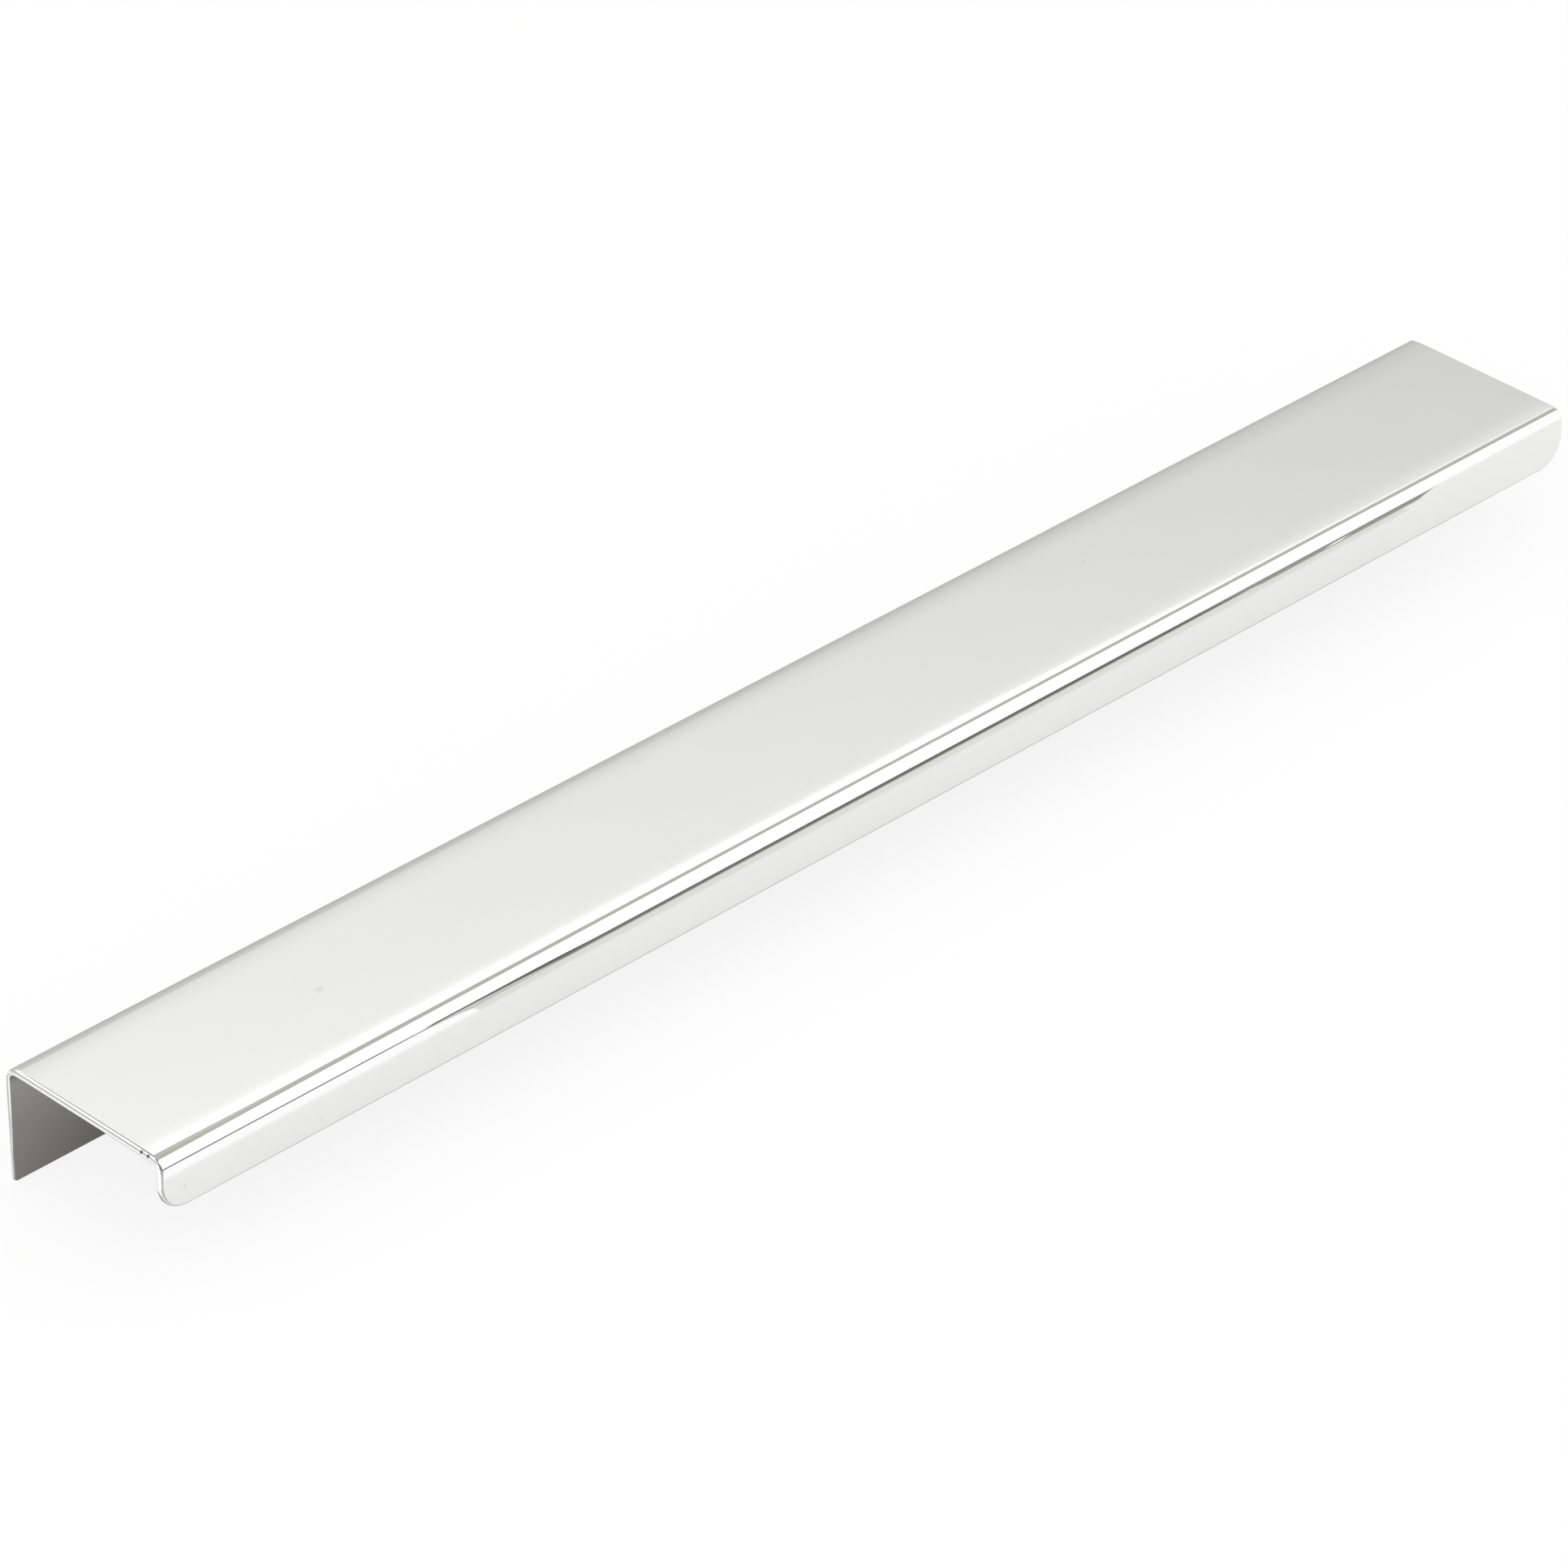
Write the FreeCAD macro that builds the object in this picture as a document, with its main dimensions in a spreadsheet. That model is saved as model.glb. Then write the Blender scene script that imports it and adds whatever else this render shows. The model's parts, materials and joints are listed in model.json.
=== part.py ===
import FreeCAD, Part
import Sketcher

import math
import os

# Lip pull for the top edge of a door or drawer front, folded from one polished sheet.
# The long plate lies on the board's edge, the deep flange is screwed to the board's back
# and the short lip hangs in front, where the fingers reach behind it.
# X runs along the pull, +Y points to the back, +Z points up, all in millimetres.
# The origin is at the middle screw, on the inner face of the flange.

SIZES = (
    ("pull_length", "350", "end to end, along the board's edge"),
    ("pull_depth", "40", "outer face of the lip to outer face of the flange"),
    ("flange_height", "23.8", "top of the plate to the bottom of the flange"),
    ("lip_height", "11.2", "top of the plate to the bottom of the lip"),
    ("sheet", "1.2", "thickness of the sheet"),
    ("back_bend", "2", "inside radius of the bend between plate and flange"),
    ("front_bend", "1", "inside radius of the bend between plate and lip"),
    ("lip_corner", "5.6", "radius of the lip's two lower corners"),
    ("flange_corner", "0.8", "radius of the flange's two lower corners"),
    ("outer_softening", "0.6", "rounding of the cut edge on the show side"),
    ("inner_softening", "0.3", "rounding of the cut edge on the hidden side"),
    ("seat_height", "12", "screw line to the underside of the plate"),
    ("screw_inset", "15", "end of the pull to the centre of the first screw"),
    ("screw_count", "3", "screws, evenly spaced along the flange"),
    ("screw_hole", "3.8", "diameter of the screw hole"),
    ("countersink", "5.6", "diameter of the countersink at the back of the flange"),
    ("countersink_angle", "90", "full angle of the countersink"),
)

NODE = "folded_pull"
TOLERANCE = 1e-4

# How a sketch's rules name its own origin, and the order of the places on a line or an arc.
SKETCH_ORIGIN = (-1, 1)
PLACES = ("whole", "start", "end", "centre")

doc = FreeCAD.newDocument("lip_pull")
sheet = doc.addObject("Spreadsheet::Sheet", "Sizes")
for row, (alias, value, meaning) in enumerate(SIZES, start=1):
    sheet.set("A%d" % row, alias)
    sheet.set("B%d" % row, value)
    sheet.set("C%d" % row, meaning)
    sheet.setAlias("B%d" % row, alias)
doc.recompute()


def size(alias):
    """Value of one driving dimension."""
    return float(sheet.get(alias))


def origin_part(body, role):
    """Plane or axis of a body's own origin, found by its role."""
    return next(item for item in body.Origin.OriginFeatures if item.Role == role)


def bind(target, path, expression):
    """Ties a property or a named constraint to the sheet."""
    target.setExpression(path, expression)


def at(geometry, place):
    """Start, end or centre of a line or an arc, the way a sketch's rules name it."""
    return geometry, PLACES.index(place)


# Section of the fold
# Seen from the +X end, drawn in the plane of Y and Z. The two bends are arcs about one
# centre each, so the sheet keeps its thickness all the way round.

def arc(centre_y, centre_z, radius, start_turn):
    """Quarter arc, anticlockwise, that starts after the given number of quarter turns."""
    quarter = math.pi / 2
    circle = Part.Circle(FreeCAD.Vector(centre_y, centre_z, 0), FreeCAD.Vector(0, 0, 1), radius)
    return Part.ArcOfCircle(circle, start_turn * quarter, (start_turn + 1) * quarter)


def line(start, end):
    """Straight side between two points of the section."""
    return Part.LineSegment(FreeCAD.Vector(*start, 0), FreeCAD.Vector(*end, 0))


def draw_section(body):
    """Closed section of the folded sheet: show side first, then the hidden side."""
    thick = size("sheet")
    seat = size("seat_height")
    top = seat + thick
    back = thick
    front = back - size("pull_depth")
    lip_inside = front + thick
    flange_foot = top - size("flange_height")
    lip_foot = top - size("lip_height")
    inner_back = size("back_bend")
    inner_front = size("front_bend")
    outer_back = inner_back + thick
    outer_front = inner_front + thick

    sketch = body.newObject("Sketcher::SketchObject", "Section")
    sketch.AttachmentSupport = [(origin_part(body, "YZ_Plane"), "")]
    sketch.MapMode = "FlatFace"

    flange_out = sketch.addGeometry(line((back, flange_foot), (back, top - outer_back)))
    back_out = sketch.addGeometry(arc(back - outer_back, top - outer_back, outer_back, 0))
    plate_out = sketch.addGeometry(line((back - outer_back, top), (front + outer_front, top)))
    front_out = sketch.addGeometry(arc(front + outer_front, top - outer_front, outer_front, 1))
    lip_out = sketch.addGeometry(line((front, top - outer_front), (front, lip_foot)))
    lip_end = sketch.addGeometry(line((front, lip_foot), (lip_inside, lip_foot)))
    lip_in = sketch.addGeometry(line((lip_inside, lip_foot), (lip_inside, seat - inner_front)))
    front_in = sketch.addGeometry(arc(lip_inside + inner_front, seat - inner_front, inner_front, 1))
    plate_in = sketch.addGeometry(line((lip_inside + inner_front, seat), (-inner_back, seat)))
    back_in = sketch.addGeometry(arc(-inner_back, seat - inner_back, inner_back, 0))
    flange_in = sketch.addGeometry(line((0, seat - inner_back), (0, flange_foot)))
    flange_end = sketch.addGeometry(line((0, flange_foot), (back, flange_foot)))

    constraint = Sketcher.Constraint
    for first, second in (
        (at(flange_out, "end"), at(back_out, "start")),
        (at(back_out, "end"), at(plate_out, "start")),
        (at(plate_out, "end"), at(front_out, "start")),
        (at(front_out, "end"), at(lip_out, "start")),
        (at(lip_in, "end"), at(front_in, "end")),
        (at(front_in, "start"), at(plate_in, "start")),
        (at(plate_in, "end"), at(back_in, "end")),
        (at(back_in, "start"), at(flange_in, "start")),
    ):
        sketch.addConstraint(constraint("Tangent", *first, *second))
    for first, second in (
        (at(lip_out, "end"), at(lip_end, "start")),
        (at(lip_end, "end"), at(lip_in, "start")),
        (at(flange_in, "end"), at(flange_end, "start")),
        (at(flange_end, "end"), at(flange_out, "start")),
        (at(back_out, "centre"), at(back_in, "centre")),
        (at(front_out, "centre"), at(front_in, "centre")),
    ):
        sketch.addConstraint(constraint("Coincident", *first, *second))
    for side in (flange_out, flange_in, lip_out, lip_in):
        sketch.addConstraint(constraint("Vertical", side))
    for side in (plate_out, plate_in, lip_end, flange_end):
        sketch.addConstraint(constraint("Horizontal", side))
    sketch.addConstraint(constraint("Vertical", *at(flange_in, "end"), *SKETCH_ORIGIN))

    flange_heel, flange_toe = at(flange_end, "start"), at(flange_end, "end")
    lip_toe = at(lip_end, "start")
    plate_top = at(plate_out, "start")
    for name, alias, kind, places in (
        ("flange_thickness", "sheet", "DistanceX", (*flange_heel, *flange_toe)),
        ("depth", "pull_depth", "DistanceX", (*lip_toe, *flange_toe)),
        ("flange_depth", "flange_height", "DistanceY", (*flange_toe, *plate_top)),
        ("lip_depth", "lip_height", "DistanceY", (*lip_toe, *plate_top)),
        ("back_inside", "back_bend", "Radius", (back_in,)),
        ("front_inside", "front_bend", "Radius", (front_in,)),
        ("seat", "seat_height", "DistanceY", (*SKETCH_ORIGIN, *at(plate_in, "end"))),
    ):
        index = sketch.addConstraint(constraint(kind, *places, size(alias)))
        sketch.renameConstraint(index, name)
        bind(sketch, "Constraints." + name, "Sizes." + alias)
    return sketch


# Edges of the folded sheet
# Rims are found by where they lie, so they are still found when a size changes.

def edge_names(shape, edges):
    """Names by which a feature refers to the given edges of its base."""
    names = []
    for number, edge in enumerate(shape.Edges, start=1):
        if any(edge.isSame(wanted) for wanted in edges):
            names.append("Edge%d" % number)
    return names


def lower_corners(shape, plane_y, foot_z):
    """Short edges through the sheet at the two lower corners of the flange or the lip."""
    def at_foot(edge):
        points = [vertex.Point for vertex in edge.Vertexes]
        across = abs(points[0].x - points[-1].x) < TOLERANCE
        low = all(abs(point.z - foot_z) < TOLERANCE for point in points)
        on_side = any(abs(point.y - plane_y) < TOLERANCE for point in points)
        return across and low and on_side

    return [edge for edge in shape.Edges if at_foot(edge)]


def rim(shape, front_y, top_z, back_y):
    """Edges round one whole side of the folded sheet, given by its three flat faces."""
    def on_side(point):
        return (
            abs(point.y - front_y) < TOLERANCE
            or abs(point.z - top_z) < TOLERANCE
            or abs(point.y - back_y) < TOLERANCE
        )

    side = [face for face in shape.Faces if all(on_side(vertex.Point) for vertex in face.Vertexes)]
    edges = [edge for face in side for edge in face.Edges]
    return [edge for edge in edges if sum(edge.isSame(other) for other in edges) == 1]


def round_edges(body, base, name, edges, radius):
    """Fillet of some edges of the last feature, with its radius from the sheet."""
    fillet = body.newObject("PartDesign::Fillet", name)
    fillet.Base = (base, edge_names(base.Shape, edges))
    bind(fillet, "Radius", "Sizes." + radius)
    doc.recompute()
    return fillet


# The folded sheet

def fold(body):
    """The section drawn out to full length, with its corners rounded and its rims softened."""
    section = draw_section(body)
    pad = body.newObject("PartDesign::Pad", "Fold")
    pad.Profile = section
    pad.SideType = "Symmetric"
    bind(pad, "Length", "Sizes.pull_length")
    doc.recompute()

    thick = size("sheet")
    top = size("seat_height") + thick
    front = thick - size("pull_depth")
    lip_edges = lower_corners(pad.Shape, front, top - size("lip_height"))
    rounded = round_edges(body, pad, "LipCorners", lip_edges, "lip_corner")
    flange_edges = lower_corners(rounded.Shape, thick, top - size("flange_height"))
    rounded = round_edges(body, rounded, "FlangeCorners", flange_edges, "flange_corner")
    show_rim = rim(rounded.Shape, front, top, thick)
    rounded = round_edges(body, rounded, "ShowRim", show_rim, "outer_softening")
    hidden_rim = rim(rounded.Shape, front + thick, size("seat_height"), 0)
    return round_edges(body, rounded, "HiddenRim", hidden_rim, "inner_softening")


# Screw holes
# The screws go in from behind the flange, into the back of the board, so each hole is
# countersunk on the outer face of the flange and its heads stay below that face.

def drill(body):
    """First countersunk hole near the left end, repeated evenly along the flange."""
    sketch = body.newObject("Sketcher::SketchObject", "ScrewPoint")
    sketch.AttachmentSupport = [(origin_part(body, "XZ_Plane"), "")]
    sketch.MapMode = "FlatFace"
    bind(sketch, "AttachmentOffset.Base.z", "-Sizes.sheet")
    hole_width = size("screw_hole")
    first_x = size("screw_inset") - size("pull_length") / 2
    centre = FreeCAD.Vector(first_x, 0, 0)
    constraint = Sketcher.Constraint
    circle = sketch.addGeometry(Part.Circle(centre, FreeCAD.Vector(0, 0, 1), hole_width / 2))
    middle = at(circle, "centre")
    sketch.addConstraint(constraint("Horizontal", *middle, *SKETCH_ORIGIN))
    along = sketch.addConstraint(constraint("DistanceX", *middle, *SKETCH_ORIGIN, -first_x))
    sketch.renameConstraint(along, "first_screw")
    bind(sketch, "Constraints.first_screw", "Sizes.pull_length / 2 - Sizes.screw_inset")
    width = sketch.addConstraint(constraint("Diameter", circle, hole_width))
    sketch.renameConstraint(width, "screw_width")
    bind(sketch, "Constraints.screw_width", "Sizes.screw_hole")
    doc.recompute()

    hole = body.newObject("PartDesign::Hole", "ScrewHole")
    hole.Profile = sketch
    hole.Reversed = True
    hole.ThreadType = "None"
    hole.DepthType = "ThroughAll"
    hole.DrillPoint = "Flat"
    hole.HoleCutType = "Countersink"
    hole.HoleCutCustomValues = True
    bind(hole, "Diameter", "Sizes.screw_hole")
    bind(hole, "HoleCutDiameter", "Sizes.countersink")
    bind(hole, "HoleCutCountersinkAngle", "Sizes.countersink_angle")
    doc.recompute()

    row = body.newObject("PartDesign::LinearPattern", "ScrewRow")
    row.Originals = [hole]
    row.Direction = (origin_part(body, "X_Axis"), [""])
    bind(row, "Length", "Sizes.pull_length - 2 * Sizes.screw_inset")
    bind(row, "Occurrences", "Sizes.screw_count")
    body.Tip = row
    doc.recompute()
    return row


def check(body):
    """Stops when a feature failed, the solid isn't sound or a hole cut nothing."""
    for item in doc.Objects:
        if "Invalid" in item.State or "Error" in item.State:
            raise RuntimeError("%s failed: %s" % (item.Name, item.State))
    shape = body.Shape
    if shape.isNull() or not shape.isValid() or len(shape.Solids) != 1:
        raise RuntimeError("the folded sheet is not one sound solid")
    holes = [
        face for face in shape.Faces
        if isinstance(face.Surface, Part.Cylinder)
        and abs(face.Surface.Radius - size("screw_hole") / 2) < TOLERANCE
        and abs(abs(face.Surface.Axis.y) - 1) < TOLERANCE
    ]
    if len(holes) < size("screw_count"):
        raise RuntimeError("a screw hole is missing")


def main():
    """Builds the pull and writes its one node."""
    body = doc.addObject("PartDesign::Body", "FoldedPull")
    body.Label = NODE
    body.Placement = FreeCAD.Placement()
    fold(body)
    drill(body)
    check(body)
    os.makedirs("parts", exist_ok=True)
    body.Shape.exportStep(os.path.join("parts", NODE + ".step"))
    box = body.Shape.optimalBoundingBox()
    print("%s: %.2f x %.2f x %.2f mm, %d faces" % (
        NODE, box.XLength, box.YLength, box.ZLength, len(body.Shape.Faces)))


main()
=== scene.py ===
"""Dresses the lip pull, one strip of polished sheet metal folded twice.

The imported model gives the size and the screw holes. The scene folds a fine mesh of
the same strip round the same planes, gives it the mirror finish and the cut edges of
the real one, and sets it in a pale studio under the camera.
"""

from __future__ import annotations

import json
import logging
import math
from collections.abc import Callable, Iterator
from dataclasses import dataclass, field
from enum import Enum
from functools import partial

import bpy
from mathutils import Euler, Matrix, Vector


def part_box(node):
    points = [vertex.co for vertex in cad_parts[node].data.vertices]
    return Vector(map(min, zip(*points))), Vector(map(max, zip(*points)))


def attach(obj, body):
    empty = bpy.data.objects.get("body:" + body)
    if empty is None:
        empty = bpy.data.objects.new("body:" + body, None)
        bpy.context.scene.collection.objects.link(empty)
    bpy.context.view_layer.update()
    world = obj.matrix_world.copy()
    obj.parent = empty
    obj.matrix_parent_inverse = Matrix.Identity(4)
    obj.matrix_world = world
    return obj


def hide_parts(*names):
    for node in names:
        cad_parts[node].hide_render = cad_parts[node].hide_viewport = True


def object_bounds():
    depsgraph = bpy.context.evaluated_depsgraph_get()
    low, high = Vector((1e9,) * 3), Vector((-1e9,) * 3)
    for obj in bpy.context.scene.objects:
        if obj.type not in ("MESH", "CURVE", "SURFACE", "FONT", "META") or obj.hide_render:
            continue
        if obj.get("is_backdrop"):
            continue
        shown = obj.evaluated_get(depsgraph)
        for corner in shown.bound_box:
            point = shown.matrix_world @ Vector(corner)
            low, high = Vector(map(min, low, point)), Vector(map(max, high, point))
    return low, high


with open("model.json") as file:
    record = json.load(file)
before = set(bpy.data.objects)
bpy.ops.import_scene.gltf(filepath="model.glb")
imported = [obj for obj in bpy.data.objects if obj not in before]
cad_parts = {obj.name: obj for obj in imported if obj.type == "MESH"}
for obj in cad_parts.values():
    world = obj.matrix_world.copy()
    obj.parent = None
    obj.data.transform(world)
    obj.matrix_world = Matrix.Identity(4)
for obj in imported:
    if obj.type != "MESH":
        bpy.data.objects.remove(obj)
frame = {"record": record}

NODE = "folded_pull"
BODY = "root"
LOG = logging.getLogger("lip_pull")
QUARTER_TURN = math.pi / 2
TINY_ANGLE = 1e-6

Triple = tuple[float, float, float]
Plan = Stops = tuple[tuple[float, float], ...]
Socket = bpy.types.NodeSocket
Material = bpy.types.Material


def put_in_scene(name: str, data: bpy.types.ID) -> bpy.types.Object:
    """Makes an object and links it to the scene.

    Args:
        name: Name of the object.
        data: Its mesh, lamp or camera.

    Returns:
        The object.
    """
    made = bpy.data.objects.new(name, data)
    bpy.context.scene.collection.objects.link(made)
    return made


def single_face(name: str, corners: tuple[Triple, ...]) -> bpy.types.Mesh:
    """Makes a mesh of one flat face.

    Args:
        name: Name of the mesh.
        corners: Places of its corners, in order.

    Returns:
        The mesh.
    """
    mesh = bpy.data.meshes.new(name)
    mesh.from_pydata(corners, [], [tuple(range(len(corners)))])
    return mesh


def oblong(left: float, right: float, front: float, back: float) -> Plan:
    """Lays out an oblong in plan."""
    return (left, front), (right, front), (right, back), (left, back)


def level(height: float, plan: Plan) -> tuple[Triple, ...]:
    """Gives the corners of a level face from its plan."""
    return tuple((x, y, height) for x, y in plan)


def loop_round(low: int, high: int, left: int, right: int) -> list[tuple[int, int]]:
    """Lists the row and column of each place round a block of a grid.

    Args:
        low: Its first row.
        high: Its last row.
        left: Its first column.
        right: Its last column.

    Returns:
        The rows and columns, in order.
    """
    foot = [(low, column) for column in range(left, right)]
    right_side = [(row, right) for row in range(low, high)]
    top = [(high, column) for column in range(right, left, -1)]
    left_side = [(row, left) for row in range(high, low, -1)]
    return foot + right_side + top + left_side


def aimed(direction: Vector) -> Euler:
    """Gives the turn that points a lamp or a camera in a direction."""
    return direction.to_track_quat("-Z", "Y").to_euler()


class Skin(Enum):
    """The three kinds of surface on the strip, and the place of each one's finish on it."""

    FACE = 0
    RIM = 1
    BORE = 2


@dataclass(frozen=True)
class Station:
    """One place along the section of the fold, on the show side.

    Attributes:
        y: Place across the pull.
        z: Height.
        heading: Direction in which the strip runs on, in radians above +Y.
    """

    y: float
    z: float
    heading: float

    def along(self) -> Vector:
        """Gives the direction in which the strip runs on."""
        return Vector((0.0, math.cos(self.heading), math.sin(self.heading)))

    def outward(self) -> Vector:
        """Gives the direction out of the show side."""
        return Vector((0.0, -math.sin(self.heading), math.cos(self.heading)))

    def point(self, x: float, depth: float) -> Vector:
        """Finds the point at a place along the pull and a depth below the show side."""
        return Vector((x, self.y, self.z)) - self.outward() * depth


@dataclass(frozen=True)
class Roll:
    """The faint roll that polishing leaves on a flat beside a pressed bend.

    Attributes:
        angle: Angle by which the flat has rolled over where the bend starts.
        length: Length of the roll.
        steps: Number of rows in it.
    """

    angle: float
    length: float
    steps: int = 8

    def curvature(self, distance: float) -> float:
        """Gives the angle turned in each metre, at a distance from the roll's flat end."""
        return 2 * self.angle * distance / self.length ** 2


# The plate rolls over more, and further out, than the short lip and the flange.
LONG_ROLL = Roll(math.radians(1.5), 0.005)
SHORT_ROLL = Roll(math.radians(0.6), 0.002)


@dataclass(frozen=True)
class Bend:
    """A quarter turn of the strip, tightest in its middle.

    Attributes:
        radius: Tightest outer radius.
        ease: Length over which the turn tightens.
        before: The roll on the flat before the turn.
        after: The roll on the flat after it.
        steps: Number of rows in the turn itself.
    """

    radius: float
    ease: float
    before: Roll
    after: Roll
    steps: int = 44

    def turn_length(self) -> float:
        """Gives the length of the turn itself."""
        rolled = self.before.angle + self.after.angle
        return (QUARTER_TURN - rolled) * self.radius + self.ease

    def rows(self) -> list[float]:
        """Lists where the rows of the bend lie.

        Returns:
            Their distances from its start.
        """
        turn = self.turn_length()
        turn_start = self.before.length
        turn_end = turn_start + turn
        into = [turn_start * step / self.before.steps for step in range(self.before.steps)]
        inside = [turn_start + turn * step / self.steps for step in range(self.steps)]
        after = self.after
        out_of = [turn_end + after.length * step / after.steps for step in range(after.steps + 1)]
        return into + inside + out_of

    def curvature(self, distance: float) -> float:
        """Gives how sharply the strip turns.

        Args:
            distance: Distance from the start of the bend.

        Returns:
            The angle turned in each metre.
        """
        from_end = self.before.length + self.turn_length() + self.after.length - distance
        if distance < self.before.length:
            return self.before.curvature(distance)
        if from_end < self.after.length:
            return self.after.curvature(from_end)
        into_turn = min(distance - self.before.length, from_end - self.after.length)
        return min(into_turn / self.ease, 1.0) / self.radius

    def turned(self, start: Station, slices: int = 12) -> Iterator[Station]:
        """Walks round the bend.

        Args:
            start: Place and heading where the bend starts.
            slices: Number of small steps between two rows.

        Yields:
            The station of each row after the first.
        """
        y, z, heading = start.y, start.z, start.heading
        rows = self.rows()
        for near, far in zip(rows, rows[1:]):
            step = (far - near) / slices
            for index in range(slices):
                middle = near + (index + 0.5) * step
                half_turn = self.curvature(middle) * step / 2
                heading -= half_turn
                y += math.cos(heading) * step
                z += math.sin(heading) * step
                heading -= half_turn
            yield Station(y, z, heading)

    def reaches(self) -> tuple[float, float]:
        """Gives the lengths that the bend takes from the planes before and after it."""
        end = list(self.turned(Station(0.0, 0.0, 0.0)))[-1]
        return end.y, -end.z


@dataclass(frozen=True)
class Row:
    """One row of the strip's grid, from its left end to its right end.

    Attributes:
        station: Where the row lies in the section.
        half_length: Half of the strip's length at this row.
        facing: Directions along X and along the strip that its right end faces.
        to_foot: Which way the nearer foot lies along the strip: -1, 0 or 1.
    """

    station: Station
    half_length: float
    facing: tuple[float, float] = (1.0, 0.0)
    to_foot: int = 0


@dataclass
class MeshDraft:
    """Vertices, their normals, and faces with their kinds, before they become a mesh."""

    points: list[Vector] = field(default_factory=list)
    normals: list[Vector] = field(default_factory=list)
    faces: list[tuple[int, ...]] = field(default_factory=list)
    skins: list[Skin] = field(default_factory=list)

    def add_point(self, point: Vector, normal: Vector) -> int:
        """Adds a vertex.

        Args:
            point: Its place.
            normal: Direction in which the surface faces there.

        Returns:
            The vertex's number.
        """
        self.points.append(point)
        self.normals.append(normal.normalized())
        return len(self.points) - 1

    def add_face(self, corners: tuple[int, ...], skin: Skin) -> None:
        """Adds a face of one kind, given the numbers of its vertices."""
        self.faces.append(corners)
        self.skins.append(skin)

    def add_band(self, first: list[int], second: list[int], skin: Skin) -> None:
        """Joins two closed loops of vertices by a band of faces.

        Args:
            first: Numbers along the first loop.
            second: Numbers along the second loop, in the same order.
            skin: What kind of surface the band is.
        """
        count = len(first)
        for index in range(count):
            after = (index + 1) % count
            self.add_face((first[index], first[after], second[after], second[index]), skin)

    def to_object(self, name: str) -> bpy.types.Object:
        """Makes a scene object of the draft, without the vertices that no face uses.

        Args:
            name: Name of the object.

        Returns:
            The new object, linked to the scene.
        """
        used = sorted({corner for face in self.faces for corner in face})
        renumbered = {old: new for new, old in enumerate(used)}
        faces = [tuple(renumbered[corner] for corner in face) for face in self.faces]
        mesh = bpy.data.meshes.new(name)
        mesh.from_pydata([self.points[old] for old in used], [], faces)
        for polygon, skin in zip(mesh.polygons, self.skins):
            polygon.material_index = skin.value
            polygon.use_smooth = True
        mesh.validate()
        mesh.normals_split_custom_set_from_vertices([self.normals[old] for old in used])
        return put_in_scene(name, mesh)


class NodeBoard:
    """Places and links shader nodes on one tree."""

    def __init__(self, tree: bpy.types.NodeTree) -> None:
        """Takes the node tree of a material, a world or a group."""
        self.tree = tree
        self.column = 0

    @classmethod
    def on(cls, owner: Material | bpy.types.World) -> NodeBoard:
        """Starts on the emptied node tree of a material or a world.

        Args:
            owner: The material or world.

        Returns:
            The board.
        """
        owner.use_nodes = True
        owner.node_tree.nodes.clear()
        return cls(owner.node_tree)

    def add(
        self, kind: str, inputs: dict[str | int, object] | None = None, **settings: object
    ) -> bpy.types.Node:
        """Adds a node.

        Args:
            kind: Blender's name of the node type.
            inputs: For each input, a value, or the socket or node that feeds it. A node feeds
                it by its first output.
            **settings: Properties of the node itself.

        Returns:
            The new node.
        """
        node = self.tree.nodes.new(kind)
        node.location = (180 * self.column, 0)
        self.column += 1
        for name, value in settings.items():
            setattr(node, name, value)
        for name, value in (inputs or {}).items():
            if isinstance(value, bpy.types.Node):
                value = value.outputs[0]
            if isinstance(value, Socket):
                self.tree.links.new(value, node.inputs[name])
            else:
                node.inputs[name].default_value = value
        return node

    def math(self, operation: str, *values: object) -> Socket:
        """Adds a sum of numbers or sockets, and gives its result."""
        node = self.add("ShaderNodeMath", dict(enumerate(values)), operation=operation)
        return node.outputs["Value"]

    def ramp(self, factor: Socket, stops: Stops, blue: float = 1.0) -> Socket:
        """Adds a ramp of greys.

        Args:
            factor: What runs along the ramp.
            stops: Place and grey of each stop, in order.
            blue: Share of the blue that stays in each grey.

        Returns:
            The grey.
        """
        node = self.add("ShaderNodeValToRGB", {"Fac": factor})
        elements = node.color_ramp.elements
        while len(elements) < len(stops):
            elements.new(1.0)
        for element, (place, grey) in zip(elements, stops):
            element.position = place
            element.color = (grey, grey, grey * blue, 1.0)
        return node.outputs["Color"]


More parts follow.
